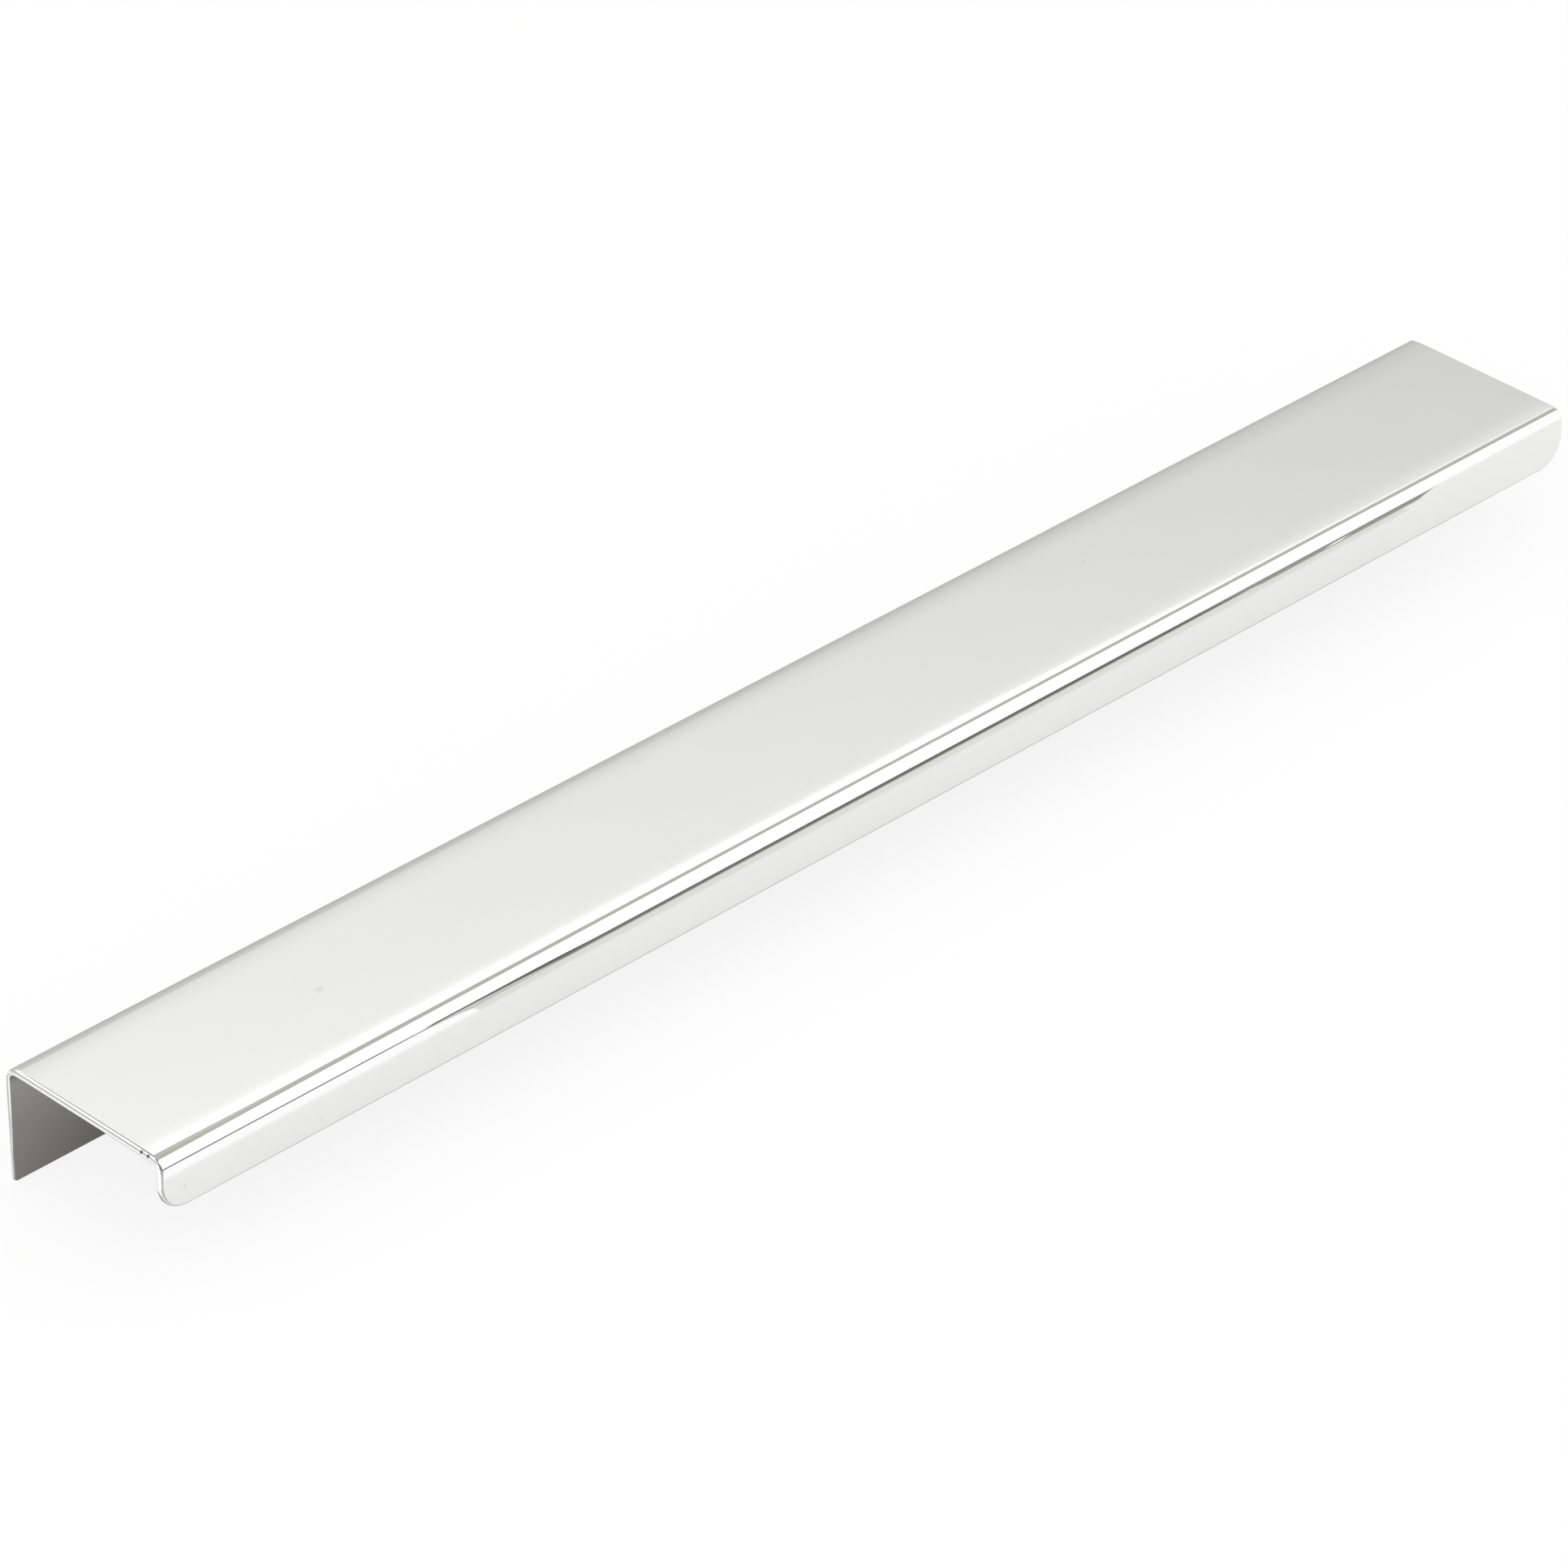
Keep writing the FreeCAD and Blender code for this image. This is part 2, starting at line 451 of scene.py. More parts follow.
class Effects:
    """The surface effects that the finishes share, each one a node group built once."""

    def __init__(self) -> None:
        """Builds the groups."""
        self.mottle = self._build_mottle()
        self.dimples = self._build_dimples()
        self.mark = self._build_mark()

    @staticmethod
    def _start(
        name: str, result: str, given: dict[str, float | Triple]
    ) -> tuple[NodeBoard, list[Socket]]:
        """Starts a node group.

        Args:
            name: Name of the group.
            result: Name of its one output, a value.
            given: Each input after the position and its value, where three numbers are a place.

        Returns:
            A board to build the group on, and the sockets that give its inputs.
        """
        group = bpy.data.node_groups.new(name, "ShaderNodeTree")
        for label, value in {"position": (0.0, 0.0, 0.0), **given}.items():
            kind = "NodeSocketVector" if isinstance(value, tuple) else "NodeSocketFloat"
            label = label.replace("_", " ").title()
            socket = group.interface.new_socket(label, in_out="INPUT", socket_type=kind)
            socket.default_value = value
        group.interface.new_socket(result, in_out="OUTPUT", socket_type="NodeSocketFloat")
        board = NodeBoard(group)
        # The last socket of a Group Input node is the empty one that would add an input.
        return board, list(board.add("NodeGroupInput").outputs)[:-1]

    @staticmethod
    def _noise(board: NodeBoard, position: Socket, scale: Socket, detail: float) -> bpy.types.Node:
        """Adds a noise over the surface, with a scale and a number of finer layers."""
        inputs = {"Vector": position, "Scale": scale, "Detail": detail}
        return board.add("ShaderNodeTexNoise", inputs)

    def _build_mottle(self) -> bpy.types.NodeTree:
        """Builds the faint cloudiness of a buffed surface, as a value round zero.

        Returns:
            The group.
        """
        given = {"cloud_scale": 60.0, "grain_scale": 900.0, "grain_share": 0.5}
        board, sockets = self._start("buffed_mottle", "Mottle", given)
        position, cloud_scale, grain_scale, share = sockets
        cloud = self._noise(board, position, cloud_scale, 3.0)
        grain = self._noise(board, position, grain_scale, 2.0)
        mixed = board.add("ShaderNodeMix", {"Factor": share, "A": cloud, "B": grain})
        board.add("NodeGroupOutput", {"Mottle": board.math("SUBTRACT", mixed, 0.5)})
        return board.tree

    def _build_dimples(self) -> bpy.types.NodeTree:
        """Builds the height of a polished sheet: long soft waves with fine orange peel.

        Returns:
            The group.
        """
        given = {
            "wave_scale": 40.0, "wave_height": 1.0, "peel_scale": 700.0, "peel_height": 0.05
        }
        board, sockets = self._start("polished_waves", "Height", given)
        position, wave_scale, wave_height, peel_scale, peel_height = sockets
        waves = self._noise(board, position, wave_scale, 1.0)
        peel = self._noise(board, position, peel_scale, 2.0)
        high = board.math("MULTIPLY", waves, wave_height)
        fine = board.math("MULTIPLY", peel, peel_height)
        board.add("NodeGroupOutput", {"Height": board.math("ADD", high, fine)})
        return board.tree

    def _build_mark(self) -> bpy.types.NodeTree:
        """Builds one soft round mark, as a mask that fades out from its middle.

        Returns:
            The group.
        """
        given = {"centre": (0.0, 0.0, 0.0), "radius": 0.001, "strength": 0.1}
        board, sockets = self._start("soft_mark", "Mask", given)
        position, centre, radius, strength = sockets
        away = board.add("ShaderNodeVectorMath", {0: position, 1: centre}, operation="DISTANCE")
        share = board.math("DIVIDE", away.outputs["Value"], radius)
        fading = board.add(
            "ShaderNodeMapRange",
            {"Value": share, "From Min": 1.0, "From Max": 0.2},
            interpolation_type="SMOOTHSTEP",
        )
        board.add("NodeGroupOutput", {"Mask": board.math("MULTIPLY", fading, strength)})
        return board.tree


@dataclass(frozen=True)
class Mark:
    """One soft mark in the polish.

    Attributes:
        centre: Its place on the pull.
        radius: How far it reaches.
        strength: How much it dulls the metal.
    """

    centre: Triple
    radius: float
    strength: float


@dataclass(frozen=True)
class MetalFinish:
    """A bare, polished metal surface.

    Attributes:
        name: Name of the material.
        tone: Colour of the metal.
        roughness: How far its reflections blur.
        roughness_spread: How much the blur changes over the surface.
        tone_spread: How much the tone changes over the surface.
        wave_height: Height of the long waves of the polish.
        peel_height: Height of the fine orange peel, as a share of the waves.
        mark_blur: How far reflections blur where a mark dulls the metal fully.
        marks: Small marks in the polish.
    """

    name: str
    tone: Triple = (0.845, 0.845, 0.845)
    roughness: float = 0.06
    roughness_spread: float = 0.05
    tone_spread: float = 0.03
    wave_height: float = 0.00002
    peel_height: float = 0.02
    mark_blur: float = 0.5
    marks: tuple[Mark, ...] = ()

    def build(self, effects: Effects) -> Material:
        """Makes the material.

        Args:
            effects: The shared node groups.

        Returns:
            The material.
        """
        material = bpy.data.materials.new(self.name)
        board = NodeBoard.on(material)
        position = board.add("ShaderNodeTexCoord").outputs["Object"]
        mottle = board.add("ShaderNodeGroup", {"Position": position}, node_tree=effects.mottle)
        waves = board.add(
            "ShaderNodeGroup",
            {"Position": position, "Peel Height": self.peel_height},
            node_tree=effects.dimples,
        )
        dulling = self._dulling(board, effects, position)
        bright = board.math("MULTIPLY_ADD", mottle, self.tone_spread, 1.0)
        clean = board.math("MULTIPLY", bright, board.math("SUBTRACT", 1.0, dulling))
        colour = board.add(
            "ShaderNodeVectorMath", {0: self.tone, "Scale": clean}, operation="SCALE"
        )
        blur = board.math("MULTIPLY_ADD", mottle, self.roughness_spread, self.roughness)
        dulled_blur = board.math("MULTIPLY", dulling, self.mark_blur)
        bump = board.add(
            "ShaderNodeBump", {"Strength": 1.0, "Distance": self.wave_height, "Height": waves}
        )
        shader = board.add(
            "ShaderNodeBsdfPrincipled",
            {
                "Base Color": colour,
                "Metallic": 1.0,
                "Roughness": board.math("ADD", blur, dulled_blur),
                "Normal": bump,
            },
        )
        board.add("ShaderNodeOutputMaterial", {"Surface": shader})
        return material

    def _dulling(self, board: NodeBoard, effects: Effects, position: Socket) -> Socket | float:
        """Adds up the marks.

        Args:
            board: Where the nodes go.
            effects: The shared node groups.
            position: Place on the surface.

        Returns:
            How much the metal is dulled at each place.
        """
        total: Socket | float = 0.0
        for mark in self.marks:
            given = {
                "Position": position,
                "Centre": mark.centre,
                "Radius": mark.radius,
                "Strength": mark.strength,
            }
            node = board.add("ShaderNodeGroup", given, node_tree=effects.mark)
            total = board.math("ADD", node, total)
        return total


@dataclass
class FoldedStrip:
    """The pull itself: lip, front bend, plate, back bend and flange in one strip.

    The strip is laid out flat as a grid of rows, with rounded corners and softened
    rims, and each row is then put where the fold has it.

    Attributes:
        low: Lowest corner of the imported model.
        high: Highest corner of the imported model.
        hole_spacing: Distance between the two end holes.
        hole_radius: Radius of the screw holes.
        sheet: Thickness of the sheet.
        lip_height: Height of the lip, from its foot to the top of the plate.
        lip_corner: Radius of the lip's lower corners.
        flange_corner: Radius of the flange's lower corners.
        show_softening: Rounding of the rims on the show side.
        hidden_softening: Rounding of the rims on the hidden side.
        countersink: Radius of the countersinks at the back face.
        hole_softening: Rounding of the rims of the holes.
        hole_land: Width of the flat ring round each mouth of a hole.
        front: The bend between lip and plate.
        back: The bend between plate and flange.
        corner_steps: Number of rows round a lower corner of the lip.
        rim_steps: Number of bands in each rounding of the rims.
        plate_rows: Number of rows on the flat of the plate.
        lip_rows: Number of rows on the flat of the lip.
        upper_rows: Number of rows on the flange above the patches of the holes.
        foot_rows: Number of rows on the flange below them.
        hole_patch: Half of the side of the square patch round a hole.
        patch_steps: Number of steps along a side of the patch.
        span_columns: Number of columns between two patches.
        end_columns: Number of columns between an end and its nearest patch.
        draft: The mesh so far.
    """

    low: Vector
    high: Vector
    hole_spacing: float
    hole_radius: float
    sheet: float = 0.0012
    lip_height: float = 0.0112
    lip_corner: float = 0.0056
    flange_corner: float = 0.0008
    show_softening: float = 0.00075
    hidden_softening: float = 0.0003
    countersink: float = 0.0028
    hole_softening: float = 0.00005
    hole_land: float = 0.0006
    front: Bend = Bend(0.00202, 0.0016, before=SHORT_ROLL, after=LONG_ROLL)
    back: Bend = Bend(0.0025, 0.0029, before=LONG_ROLL, after=SHORT_ROLL)
    corner_steps: int = 14
    rim_steps: int = 9
    plate_rows: int = 14
    lip_rows: int = 3
    upper_rows: int = 2
    foot_rows: int = 3
    hole_patch: float = 0.0045
    patch_steps: int = 10
    span_columns: int = 22
    end_columns: int = 3
    draft: MeshDraft = field(default_factory=MeshDraft)

    def __post_init__(self) -> None:
        """Works out the rows and columns of the grid."""
        self.half = (self.high.x - self.low.x) / 2
        self.hole_places = [-self.hole_spacing / 2, 0.0, self.hole_spacing / 2]
        self.columns = self._lay_columns()
        # Each row is called with a distance in from the rim.
        self.rows: list[Callable[[float], Row]] = []
        self.hole_rows = (0, 0)
        self._lay_rows()

    def _lay_columns(self) -> list[float]:
        """Lists the places of the columns along the pull, before the corners are rounded.

        Returns:
            The places, from the left end to the right.
        """
        steps = self.patch_steps
        patch = [self.hole_patch * (2 * step / steps - 1) for step in range(steps + 1)]
        columns: list[float] = []
        edge = -self.half
        for hole in self.hole_places:
            first = hole + patch[0]
            count = self.end_columns if not columns else self.span_columns
            columns += [edge + (first - edge) * step / count for step in range(count)]
            columns += [hole + offset for offset in patch[:-1]]
            edge = hole + patch[-1]
        count = self.end_columns
        columns += [edge + (self.half - edge) * step / count for step in range(count + 1)]
        return columns

    def _column(self, index: int, half_length: float) -> float:
        """Finds where a column crosses a row.

        Args:
            index: Number of the column.
            half_length: Half of the strip's length at the row.

        Returns:
            The place along the pull.
        """
        place = self.columns[index]
        fixed = self.hole_places[-1] + self.hole_patch
        if abs(place) <= fixed:
            return place
        share = (abs(place) - fixed) / (self.half - fixed)
        return math.copysign(fixed + share * (half_length - fixed), place)

    def _corner_row(
        self, foot: Station, radius: float, to_foot: int, angle: float, inset: float
    ) -> Row:
        """Finds a row that ends on a rounded corner.

        Args:
            foot: The foot of the lip or flange.
            radius: Radius of the corner.
            to_foot: Which way the foot lies along the strip.
            angle: Angle round the corner, from the strip's end to its foot.
            inset: Distance in from the rim.

        Returns:
            The row.
        """
        up = radius - (radius - inset) * math.sin(angle)
        place = Vector((0.0, foot.y, foot.z)) - foot.along() * to_foot * up
        return Row(
            Station(place.y, place.z, foot.heading),
            self.half - radius + (radius - inset) * math.cos(angle),
            (math.cos(angle), to_foot * math.sin(angle)),
            to_foot if angle > QUARTER_TURN - TINY_ANGLE else 0,
        )

    def _straight_row(self, station: Station, inset: float) -> Row:
        """Finds a row that ends on the strip's straight ends."""
        return Row(station, self.half - inset)

    def _lay_rows(self) -> None:
        """Lays the rows from the lip's foot, over the plate, to the flange's foot."""
        up, over, down = QUARTER_TURN, 0.0, -QUARTER_TURN
        lip_foot = Station(self.low.y, self.high.z - self.lip_height, up)
        flange_foot = Station(self.high.y, self.low.z, down)
        steps = self.corner_steps
        quarter = [QUARTER_TURN * step / steps for step in range(steps + 1)]
        for angle in reversed(quarter):
            self.rows.append(partial(self._corner_row, lip_foot, self.lip_corner, -1, angle))
        front_before, front_after = self.front.reaches()
        back_before, back_after = self.back.reaches()
        lip_top = Station(self.low.y, self.high.z - front_before, up)
        lip_flat = Station(self.low.y, lip_foot.z + self.lip_corner, up)
        self._flat_rows(lip_flat, lip_top.z, self.lip_rows)
        self._bend_rows(self.front, lip_top)
        plate_start = Station(self.low.y + front_after, self.high.z, over)
        plate_end = Station(self.high.y - back_before, self.high.z, over)
        self._flat_rows(plate_start, plate_end.y, self.plate_rows)
        self._bend_rows(self.back, plate_end)
        flange_top = Station(self.high.y, self.high.z - back_after, down)
        self._flat_rows(flange_top, self.hole_patch, self.upper_rows)
        self.hole_rows = (len(self.rows) - 1, len(self.rows) - 1 + self.patch_steps)
        patch_top = Station(self.high.y, self.hole_patch, down)
        self._flat_rows(patch_top, -self.hole_patch, self.patch_steps)
        patch_foot = Station(self.high.y, -self.hole_patch, down)
        flange_end = flange_foot.z + self.flange_corner
        self._flat_rows(patch_foot, flange_end, self.foot_rows, leave_last=True)
        # The flange's corners are small, so every other step is enough.
        for angle in quarter[::2]:
            ends = partial(self._corner_row, flange_foot, self.flange_corner, 1, angle)
            self.rows.append(ends)

    def _flat_rows(
        self, start: Station, end: float, count: int, leave_last: bool = False
    ) -> None:
        """Adds the rows of a flat stretch, after its first one, which is there already.

        Args:
            start: Where the stretch starts.
            end: Its far end: a height, or a place across the pull on the plate.
            count: Number of steps to the far end.
            leave_last: Whether the far end's own row is left out.
        """
        for step in range(1, count + (0 if leave_last else 1)):
            share = step / count
            if start.heading == 0.0:
                station = Station(start.y + (end - start.y) * share, start.z, start.heading)
            else:
                station = Station(start.y, start.z + (end - start.z) * share, start.heading)
            self.rows.append(partial(self._straight_row, station))

    def _bend_rows(self, bend: Bend, start: Station) -> None:
        """Adds the rows of a bend, after its first one, which is there already."""
        for station in bend.turned(start):
            self.rows.append(partial(self._straight_row, station))

    def _place(self, row: int, column: int, inset: float, depth: float) -> Vector:
        """Finds a vertex, where the grid's outline is inset from the rim."""
        found = self.rows[row](inset)
        return found.station.point(self._column(column, found.half_length), depth)

    def _in_patch(self, row: int, column: int) -> bool:
        """Tells whether a cell of the grid is in the square patch round a screw hole.

        Args:
            row: Number of the cell's first row.
            column: Number of the cell's first column.

        Returns:
            Whether it is.
        """
        first, last = self.hole_rows
        middle = (self.columns[column] + self.columns[column + 1]) / 2
        near = any(abs(middle - hole) < self.hole_patch for hole in self.hole_places)
        return first <= row < last and near

    def _side(self, inset: float, depth: float, show: bool) -> list[list[int]]:
        """Makes one side of the sheet.

        Args:
            inset: Distance of the side's outline in from the rim.
            depth: Distance below the show side.
            show: Whether this is the show side.

        Returns:
            The numbers of its vertices, row by row.
        """
        grid: list[list[int]] = []
        columns = range(len(self.columns))
        for row in range(len(self.rows)):
            outward = self.rows[row](inset).station.outward()
            normal = outward if show else -outward
            places = [self._place(row, column, inset, depth) for column in columns]
            grid.append([self.draft.add_point(place, normal) for place in places])
        for row in range(len(self.rows) - 1):
            low, high = grid[row], grid[row + 1]
            for column in range(len(self.columns) - 1):
                if not self._in_patch(row, column):
                    corners = (low[column], low[column + 1], high[column + 1], high[column])
                    self.draft.add_face(corners if show else corners[::-1], Skin.FACE)
        return grid

    def _outline(self) -> list[tuple[int, int]]:
        """Lists the row and column of each place round the strip's outline."""
        return loop_round(0, len(self.rows) - 1, 0, len(self.columns) - 1)

    def _rim_loop(self, inset: float, depth: float, lift: float) -> list[int]:
        """Makes a loop of vertices round the strip's rim.

        Args:
            inset: Distance in from the rim.
            depth: Distance below the show side.
            lift: Angle by which the surface faces out of the show side there.

        Returns:
            The numbers of its vertices.
        """
        loop = []
        for row, column in self._outline():
            found = self.rows[row](inset)
            across, along = found.facing
            if found.to_foot:
                across, along = 0.0, float(found.to_foot)
            elif column == 0:
                across = -across
            facing = Vector((across, 0.0, 0.0)) + found.station.along() * along
            normal = facing * math.cos(lift) + found.station.outward() * math.sin(lift)
            loop.append(self.draft.add_point(self._place(row, column, inset, depth), normal))
        return loop

    def _rim(self, show: list[list[int]], hidden: list[list[int]]) -> None:
        """Joins the two sides round the outline by a softened rim.

        Args:
            show: Vertices of the show side.
            hidden: Vertices of the hidden side.
        """
        outline = self._outline()
        loops = [[show[row][column] for row, column in outline]]
        soft = self.show_softening
        for step in range(1, self.rim_steps + 1):
            lift = QUARTER_TURN * (1 - step / self.rim_steps)
            inset, depth = soft * (1 - math.cos(lift)), soft * (1 - math.sin(lift))
            loops.append(self._rim_loop(inset, depth, lift))
        soft = self.hidden_softening
        for step in range(self.rim_steps):
            lift = QUARTER_TURN * step / self.rim_steps
            inset, depth = soft * (1 - math.cos(lift)), self.sheet - soft * (1 - math.sin(lift))
            loops.append(self._rim_loop(inset, depth, -lift))
        loops.append([hidden[row][column] for row, column in outline])
        for outer, inner in zip(loops, loops[1:]):
            self.draft.add_band(inner, outer, Skin.RIM)

    def _patch_loop(self, hole: float) -> list[tuple[int, int]]:
        """Lists the row and column of each place round the square patch of a hole.

        Args:
            hole: Place of the hole along the pull.

        Returns:
            The rows and columns, in order.
        """
        side = hole - self.hole_patch
        columns = range(len(self.columns))
        left = min(columns, key=lambda index: abs(self.columns[index] - side))
        return loop_round(*self.hole_rows, left, left + self.patch_steps)

    def _ring(
        self, hole: float, corners: list[Vector], radius: float, depth: float, turn: float
    ) -> list[int]:
        """Makes a ring of vertices in or round a hole.

        Args:
            hole: Place of the hole along the pull.
            corners: Places round the patch, which give the ring's directions.
            radius: Radius of the ring.
            depth: Distance below the show side.
            turn: Angle by which the surface has turned from the show side into the hole.

        Returns:
            The numbers of its vertices.
        """
        ring = []
        outward = Vector((0.0, 1.0, 0.0))
        for corner in corners:
            away = Vector((corner.x - hole, 0.0, corner.z)).normalized()
            place = Vector((hole, self.high.y - depth, 0.0)) + away * radius
            normal = outward * math.cos(turn) - away * math.sin(turn)
            ring.append(self.draft.add_point(place, normal))
        return ring

    def _hole(self, hole: float, show: list[list[int]], hidden: list[list[int]]) -> None:
        """Makes a countersunk screw hole, and the flat patches round it.

        Args:
            hole: Place of the hole along the pull.
            show: Vertices of the show side.
            hidden: Vertices of the hidden side.
        """
        square = self._patch_loop(hole)
        corners = [self._place(row, column, 0.0, 0.0) for row, column in square]
        soft, land = self.hole_softening, self.hole_land
        mouth, bore, depth = self.countersink, self.hole_radius, self.sheet
        cone_end = mouth - bore
        cone_turn = QUARTER_TURN / 2
        profile = [
            (mouth + land, 0.0, 0.0, Skin.FACE),
            (mouth + soft, 0.0, 0.0, Skin.FACE),
            (mouth - soft, soft, cone_turn, Skin.BORE),
            (bore + soft, cone_end - soft, cone_turn, Skin.BORE),
            (bore, cone_end + soft, QUARTER_TURN, Skin.BORE),
            (bore, depth - soft, QUARTER_TURN, Skin.BORE),
            (bore + soft, depth, math.pi, Skin.BORE),
            (bore + land, depth, math.pi, Skin.FACE),
        ]
        outer = [show[row][column] for row, column in square]
        for *ring, skin in profile:
            inner = self._ring(hole, corners, *ring)
            self.draft.add_band(outer, inner, skin)
            outer = inner
        self.draft.add_band(outer, [hidden[row][column] for row, column in square], Skin.FACE)

    def build(self) -> bpy.types.Object:
        """Makes the mesh of the strip.

        Returns:
            The object.
        """
        show = self._side(self.show_softening, 0.0, show=True)
        hidden = self._side(self.hidden_softening, self.sheet, show=False)
        self._rim(show, hidden)
        for hole in self.hole_places:
            self._hole(hole, show, hidden)
        return self.draft.to_object("polished_pull")

    def dress(self, piece: bpy.types.Object, finishes: dict[Skin, Material]) -> None:
        """Gives the strip its finishes and its place in the frame.

        Args:
            piece: The strip.
            finishes: The finish of each kind of surface.
        """
        for skin in Skin:
            piece.data.materials.append(finishes[skin])
        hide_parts(NODE)
        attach(piece, BODY)


@dataclass(frozen=True)
class Card:
    """A plain glowing board of the studio, which shows in the metal alone.

    Attributes:
        name: Name of the board.
        corners: Places of its corners, in order.
        shade: Its colour.
        strength: How brightly it glows, where 1 is white.
        greys: The grey at each corner, where it isn't even.
    """

    name: str
    corners: tuple[Triple, ...]
    shade: Triple = (1.0, 1.0, 1.0)
    strength: float = 1.0
    greys: tuple[float, ...] = ()

    def build(self) -> None:
        """Makes the board and marks it as studio gear."""
        mesh = single_face(self.name, self.corners)
        if self.greys:
            colours = mesh.color_attributes.new("Greys", "FLOAT_COLOR", "POINT")
            for place, grey in zip(colours.data, self.greys):
                place.color = (*(grey * part for part in self.shade), 1.0)
        mesh.materials.append(self._material())
        board = put_in_scene(self.name, mesh)
        board.visible_camera = False
        board.visible_diffuse = False
        board.visible_shadow = False
        board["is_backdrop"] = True

    def _material(self) -> Material:
        """Makes the board's glowing paint.

        Returns:
            The material.
        """
        material = bpy.data.materials.new(self.name)
        board = NodeBoard.on(material)
        colour = (*self.shade, 1.0)
        if self.greys:
            colour = board.add("ShaderNodeVertexColor", layer_name="Greys")
        glow = board.add("ShaderNodeEmission", {"Color": colour, "Strength": self.strength})
        board.add("ShaderNodeOutputMaterial", {"Surface": glow})
        return material


@dataclass
class Studio:
    """The pale floor, the soft surroundings, the lamp and the boards that the metal reflects.

    Attributes:
        low: Lowest corner of the pull.
        high: Highest corner of the pull.
        floor_size: Length of the floor's sides.
        floor_tone: Colour of the floor.
        floor_white: Share of plain white in what the camera sees of the floor.
        floor_gap: Height of the pull, and of the boards on the floor, above the floor.
        sky_strength: Brightness of the brightest part of the surroundings.
        behind: Height and grey of each stop of the surroundings behind the pull.
        before: The same in front of it.
        lamp_place: Where the soft lamp is.
        lamp_size: Length of its sides.
        lamp_power: Its power in watts.
        ceiling: Height of the white panel above the pull.
        bar_drop: Distance of the grey bar below the white panel.
        bar_gap: Distance of the boards under the bar below it.
        hair: Distance between boards that lie over each other on the floor.
        panel_glow: How brightly the white panel glows.
        olive: Colour of the boards that the plate's olive bands and the lip show.
        shadow: Colour of the boards that stand for the shade under the pull.
    """

    low: Vector
    high: Vector
    floor_size: float = 8.0
    floor_tone: Triple = (0.8, 0.8, 0.8)
    floor_white: float = 0.85
    floor_gap: float = 0.0002
    sky_strength: float = 1.3
    behind: Stops = (
        (0.50, 0.35), (0.53, 0.43), (0.57, 0.44), (0.65, 0.47), (0.715, 0.50), (0.745, 0.55),
        (0.765, 0.68), (0.780, 0.745), (0.789, 0.80), (0.80, 0.93), (0.83, 1.0),
    )
    before: Stops = ((0.50, 0.92), (0.60, 1.0))
    lamp_place: Triple = (-0.50, -0.75, 0.75)
    lamp_size: float = 0.7
    lamp_power: float = 1.6
    ceiling: float = 0.8
    bar_drop: float = 0.01
    bar_gap: float = 0.0005
    hair: float = 0.0001
    panel_glow: float = 1.28
    olive: Triple = (1.0, 1.0, 0.95)
    shadow: Triple = (1.0, 0.984, 0.95)

    def __post_init__(self) -> None:
        """Works out the height of the floor, a hair under the pull."""
        self.floor_height = self.low.z - self.floor_gap

    def build(self) -> None:
        """Makes the whole studio."""
        self._floor()
        self._sky()
        self._lamp()
        cards = [*self._overhead_cards(), self._standing_card()]
        cards += [*self._cards_before(), *self._cards_after()]
        for card in cards:
            card.build()
        LOG.info("the studio has %d boards", len(cards))

    def _overhead_cards(self) -> list[Card]:
        """Lists the boards over the pull: a white panel with grey bars hanging under it.

        Returns:
            The boards.
        """
        panel = self.high.z + self.ceiling
        bar = panel - self.bar_drop
        under_bar = bar - self.bar_gap
        panel_plan = (
            (-1.20, -0.70), (0.90, -0.70), (0.90, 0.783), (0.78, 0.800), (-1.20, 0.808)
        )
        end_plan = ((0.90, -0.70), (1.20, -0.70), (1.20, 0.712), (0.90, 0.783))
        bar_plan = (
            (-0.30, -0.15), (0.30, -0.15), (0.335, 0.01), (0.40, 0.095), (0.48, 0.155),
            (0.56, 0.205), (0.62, 0.19), (0.70, 0.13), (0.79, 0.11), (0.84, 0.0),
            (0.90, -0.12), (1.30, -0.12), (1.30, 0.40), (1.00, 0.44), (0.95, 0.50),
            (0.90, 0.54), (0.85, 0.52), (0.70, 0.585), (0.49, 0.597), (0.478, 0.61),
            (0.478, 0.675), (0.33, 0.76), (-0.05, 0.76), (-0.05, 0.60), (-0.30, 0.60),
        )
        soft_end_plan = ((0.29, -0.12), (0.35, 0.03), (0.475, 0.595), (0.41, 0.60))
        edge_plan = (
            (-0.05, 0.605), (0.455, 0.605), (0.455, 0.67), (0.32, 0.755), (-0.05, 0.755)
        )
        over_end_plan = (
            (-0.75, -0.30), (-0.05, -0.30), (-0.05, -0.075), (-0.27, -0.075), (-0.27, 0.20),
            (-0.75, 0.20),
        )
        glow = self.panel_glow
        return [
            Card("white_panel", level(panel, panel_plan), strength=glow),
            Card("panel_end", level(panel, end_plan), strength=glow, greys=(1.0, 0.62, 0.62, 1.0)),
            Card("grey_bar", level(bar, bar_plan), shade=(0.53, 0.535, 0.487)),
            Card("soft_bar_end", level(under_bar, soft_end_plan), shade=(1.0, 1.01, 0.92),
                 greys=(0.45, 0.52, 0.60, 0.70)),
            Card("dark_bar_edge", level(under_bar, edge_plan), strength=0.2),
            Card("bar_over_end", level(under_bar, over_end_plan), strength=0.33),
        ]

    def _standing_card(self) -> Card:
        """Gives the dark board that stands before the left end, which the front bend shows.

        Returns:
            The board.
        """
        foot, top = self.floor_height, 0.36
        left_foot, right_foot = (-0.380, -0.181, foot), (-0.153, -0.287, foot)
        right_top, left_top = (-0.292, -0.259, top), (-0.425, -0.038, top)
        return Card("dark_stand", (left_foot, right_foot, right_top, left_top), strength=0.26)

